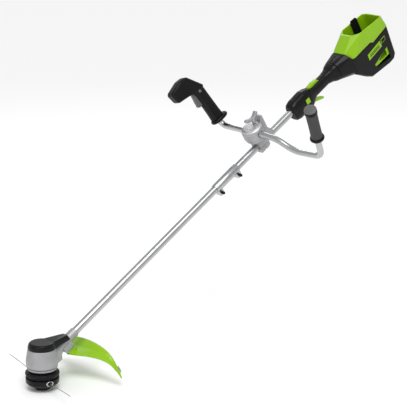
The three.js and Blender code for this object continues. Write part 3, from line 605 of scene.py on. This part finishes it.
moulded("clamp_lower", "clamp_half_lower", blasted_casting, 0.8, 3, 0.4)
moulded("clamp_base", "clamp_half_upper", blasted_casting, 0.8, 3, 0.4)
softened("clamp_bolt_left", "clamp_screw_left", plain_steel, 0.0003)
softened("clamp_bolt_right", "clamp_screw_right", plain_steel, 0.0003)
moulded("clamp_turret", "bar_turret", blasted_casting, 0.9, 3, 0.4)
polished_cap = plain_steel_finish("polished_cap", (0.66, 0.66, 0.67), 0.34)
moulded("turret_cap", "bar_cap", polished_cap, 0.7, 3, 0.4)


def grey_finish():
    material, surface, place = new_finish("grey_moulding")
    cloud = noise(place, 18.0, 4.0)
    grain = noise(place, 1700.0, 1.0)
    colour = place.tinted(cloud.above(0.5, 0.3), (0.080, 0.080, 0.083), (0.115, 0.115, 0.118))
    joined_up(surface, colour, 0.4 + cloud * 0.12, grain, 0.00002)
    return material


grey_moulding = grey_finish()
WING_OUTLINE = [(1094, 103.5), (1090.5, 108), (1092, 113), (1098, 114.5), (1106, 111.5),
                (1115, 107), (1125, 105.5), (1133, 108), (1139, 112.5), (1144, 116.5),
                (1149, 116), (1151, 111), (1148, 104.5), (1139, 99), (1125, 96.5), (1110, 97.5),
                (1101, 99.5)]


def slab(outline, near, far, stance):
    """An outline in X and Z, in millimetres, thickened from near to far along Y."""
    bpy.ops.object.select_all(action="DESELECT")
    bpy.ops.mesh.primitive_circle_add(vertices=len(outline), radius=1, fill_type="NGON")
    piece = bpy.context.object
    for vertex, (x, z) in zip(piece.data.vertices, outline):
        vertex.co = (x / 1000, near / 1000, z / 1000)
    bpy.ops.object.mode_set(mode="EDIT")
    bpy.ops.mesh.select_all(action="SELECT")
    bpy.ops.mesh.extrude_region_move(
        TRANSFORM_OT_translate={"value": (0, (far - near) / 1000, 0)})
    bpy.ops.mesh.select_all(action="SELECT")
    bpy.ops.mesh.normals_make_consistent(inside=False)
    bpy.ops.object.mode_set(mode="OBJECT")
    piece.matrix_world = stance
    return piece


wing = slab(WING_OUTLINE, -7.5, 7.5, SHAFT)
rounded(wing, 3.2, 4, 50)
fitted(wing, "clamp_wing_knob", "wing_knob", blasted_casting, ["wing_knob"], 50)
hub = spun([(0, 26), (4, 26), (4, 83), (8, 83), (8, 91), (10, 94), (10.5, 99), (9, 103),
            (0, 104)], 64)
hub.matrix_world = SHAFT @ Matrix.Translation((1.125, 0, 0))
rounded(hub, 0.8, 3, 30)
fitted(hub, "wing_knob_hub", "wing_knob", blasted_casting)


# ---- handlebar and left grip ----
# One bent tube, satin anodised like the shaft. The left grip is soft rubber
# between a moulded flange and a collar, with a grey cap in its end.


def bent_bar(corners, bends, steps=14):
    """Straight runs joined by smooth bends that start and end a bend's length from a corner."""
    path = [Vector(corners[0])]
    for i, bend in enumerate(bends, start=1):
        corner = Vector(corners[i])
        enter = corner + (Vector(corners[i - 1]) - corner).normalized() * bend
        leave = corner + (Vector(corners[i + 1]) - corner).normalized() * bend
        for step in range(steps + 1):
            part = step / steps
            path.append(enter * (1 - part) ** 2 + corner * 2 * part * (1 - part)
                        + leave * part ** 2)
    path.append(Vector(corners[-1]))
    return path


LEFT_LEAN = math.radians(13.4)
PISTOL_LEAN = math.radians(-16.5)
BAR_CORNERS = [(1102, -332.5 - 130 * math.sin(LEFT_LEAN), 100.7 + 130 * math.cos(LEFT_LEAN)),
               (1102, -313, 19), (1102, -180, 12), (1102, -116, 50), (1102, -62, 57),
               (1102, 64, 57), (1102, 154, 58),
               (1102, 160 - 60 * math.sin(PISTOL_LEAN), 78 + 60 * math.cos(PISTOL_LEAN))]
bar = drawn_tube(bent_bar(BAR_CORNERS, [32, 34, 22, 14, 8, 24]), 11, 2, SHAFT)


def bar_finish():
    material, surface, place = new_finish("satin_bar", metal=1.0)
    draw = noise(place, 260.0, 3.0)
    cloud = noise(place, 12.0, 3.0)
    colour = place.tinted(cloud.above(0.5, 0.3), (0.44, 0.445, 0.45), (0.53, 0.535, 0.54))
    joined_up(surface, colour, 0.23 + draw * 0.10, draw, 0.000006)
    return material


fitted(bar, "bar_tube", "handlebar", bar_finish(), ["handlebar_tube"], 50)
LEFT_GRIP = (SHAFT @ Matrix.Translation((1.102, -0.3325, 0.1007))
             @ Matrix.Rotation(LEFT_LEAN, 4, "X"))
flange = spun([(11.3, 0), (20, 0), (22.6, 0.9), (24.3, 2.8), (24.8, 5.5), (24.3, 8), (22.8, 10),
               (21.5, 12), (11.3, 12)])
flange.matrix_world = LEFT_GRIP
fitted(flange, "grip_flange", "handlebar", black_nylon, ["left_grip_flange"], 55)
grip_rubber = rubber_finish("grip_rubber", (0.030, 0.030, 0.031), 600.0)

# The sleeve narrows a little at its middle and has shallow finger grooves.
sleeve_profile = [(11.3, 12.3), (19.4, 12.3), (20.3, 13.4)]
for step in range(1, 68):
    height = 13.4 + step * 1.5
    waist = 20.1 - 0.9 * math.sin(math.pi * (height - 13.4) / 103)
    groove = 0.45 if 22 < height < 108 and step % 6 == 0 else 0.0
    sleeve_profile.append((waist - groove, height))
sleeve_profile += [(20.5, 117), (19.8, 118), (11.3, 118)]
sleeve = spun(sleeve_profile)
sleeve.matrix_world = LEFT_GRIP
fitted(sleeve, "grip_sleeve", "handlebar", grip_rubber, ["left_grip_rubber"], 50)
softened("left_grip_collar", "grip_collar", black_nylon, 0.0008)
end_cap = spun([(0, 119), (8.6, 119), (8.6, 130.4), (20.4, 130.4), (21, 131), (21, 135.4),
                (20.3, 137), (18.6, 138), (14, 138.4), (0, 138.5)])
end_cap.matrix_world = LEFT_GRIP
fitted(end_cap, "grip_cap", "handlebar", grey_moulding, ["left_grip_cap"], 50)


# ---- pistol grip ----
# Two black half shells, screwed together round the bar's right end, hold the
# throttle trigger and the round button.

moulded("pistol_left_shell", "pistol_half_left", black_nylon, 1.1, 14, 0.5)
moulded("pistol_right_shell", "pistol_half_right", black_nylon, 1.1, 14, 0.5)
moulded("pistol_flange", "pistol_hand_stop", black_nylon, 1.0, 10, 0.5)
moulded("pistol_trigger", "throttle_trigger", grey_moulding, 0.7, 5, 0.4)
softened("pistol_button", "cruise_button", grey_moulding, 0.0008)


# ---- rear handle ----
# Two black half shells with a green lock-off lever above and a green trigger
# below, which is hinged on a steel pin and presses a small switch.

moulded("handle_left_shell", "handle_half_left", black_nylon, 1.2,
        14, 0.5, True)
moulded("handle_right_shell", "handle_half_right", black_nylon, 1.2,
        14, 0.5, True)
moulded("lockoff_lever", "lockoff_paddle", lime_moulding, 0.7, 5, 0.4)
moulded("handle_trigger", "handle_trigger_blade", lime_moulding, 0.6, 5, 0.4)
moulded("speed_switch", "speed_slider", lime_moulding, 0.5, 3, 0.4)


def cap_screw(name, place, seat, body="frame"):
    """A pan-head screw with a hex socket, its head facing +Y at a depth in millimetres."""
    bpy.ops.object.select_all(action="DESELECT")
    bpy.ops.mesh.primitive_cylinder_add(vertices=6, radius=0.0019, depth=0.004,
                                        location=(0, 0, 0.0034))
    socket = bpy.context.object
    screw = spun([(0, 0), (4.0, 0), (4.0, 1.2), (3.6, 2.0), (2.8, 2.5), (0, 2.7)], 28)
    carve = screw.modifiers.new("socket", "BOOLEAN")
    carve.operation = "DIFFERENCE"
    carve.solver = "EXACT"
    carve.object = socket
    alone(screw)
    bpy.ops.object.modifier_apply(modifier="socket")
    bpy.data.objects.remove(socket)
    s, u = place
    screw.matrix_world = (SHAFT @ Matrix.Translation((s / 1000, seat / 1000, u / 1000))
                          @ Matrix.Rotation(math.radians(-90), 4, "X"))
    fitted(screw, name, body, black_steel, corner=30)


HANDLE_SCREWS = [(1300, -26), (1360, -32), (1300, 24), (1455, -4), (1508, -20)]
for number, place in enumerate(HANDLE_SCREWS, start=1):
    cap_screw(f"handle_screw_{number}", place, 14.0)
softened("trigger_pin", "trigger_hinge_pin", plain_steel, 0.0002)
softened("trigger_switch", "micro_switch", black_nylon, 0.0004)


# ---- rear housing and battery bay ----
# Two black half shells carry the green bay, which is open at the top and is
# meant for a slide-in battery pack. The rail and terminal block stand in it.


def board_finish():
    material, surface, place = new_finish("solder_mask")
    tracks = place.through(
        "TexVoronoi", {"feature": "F1", "distance": "CHEBYCHEV"},
        {"Vector": place, "Scale": 190.0},
    )
    colour = place.tinted(tracks.above(0.42, 0.05), (0.01, 0.09, 0.03), (0.03, 0.22, 0.08))
    joined_up(surface, colour, 0.3 + tracks * 0.2, tracks, 0.0001)
    return material


moulded("housing_left_shell", "housing_half_left", black_nylon, 1.3,
        14, 0.5, True)
moulded("housing_right_shell", "housing_half_right", black_nylon, 1.3,
        14, 0.5, True)
moulded("battery_bay", "bay_moulding", lime_moulding, 1.3, 22, 0.5)
moulded("bay_rail", "pack_rail", black_nylon, 0.8)
softened("terminal_block", "pack_terminals", black_nylon)
softened("controller_board", "speed_controller", board_finish(), 0.0002)
HOUSING_SCREWS = [(1632, -90), (1764, -104), (1600, -20), (1768, -20)]
for number, place in enumerate(HOUSING_SCREWS, start=1):
    cap_screw(f"housing_screw_{number}", place, 47.6)

# A blank lime plate with two plain black bars, and a small blank plate beside
# it, sit on the left side.
softened("side_plate", "badge_plate", lime_moulding, 0.0006)
for number, (low, high) in enumerate([(-33.6, -31.6), (-40.4, -37.4)], start=1):
    bar_piece = slab([(1662, low - 1.5), (1662, high - 1.5), (1717, high + 2.6), (1717, low + 2.6)],
                     -50.0, -49.4, SHAFT)
    fitted(bar_piece, f"badge_bar_{number}", "frame", black_nylon)
small_plate = slab([(1731, -35.5), (1733.5, -19.5), (1757, -17.5), (1755, -33.0)],
                   -49.2, -47.6, SHAFT)
rounded(small_plate, 0.6, 2, 40)
fitted(small_plate, "small_badge_rim", "frame", lime_moulding)
small_field = slab([(1733.3, -33.4), (1735.2, -21.2), (1754.6, -19.5), (1753.2, -31.4)],
                   -49.6, -49.0, SHAFT)
fitted(small_field, "small_badge_field", "frame", black_nylon)
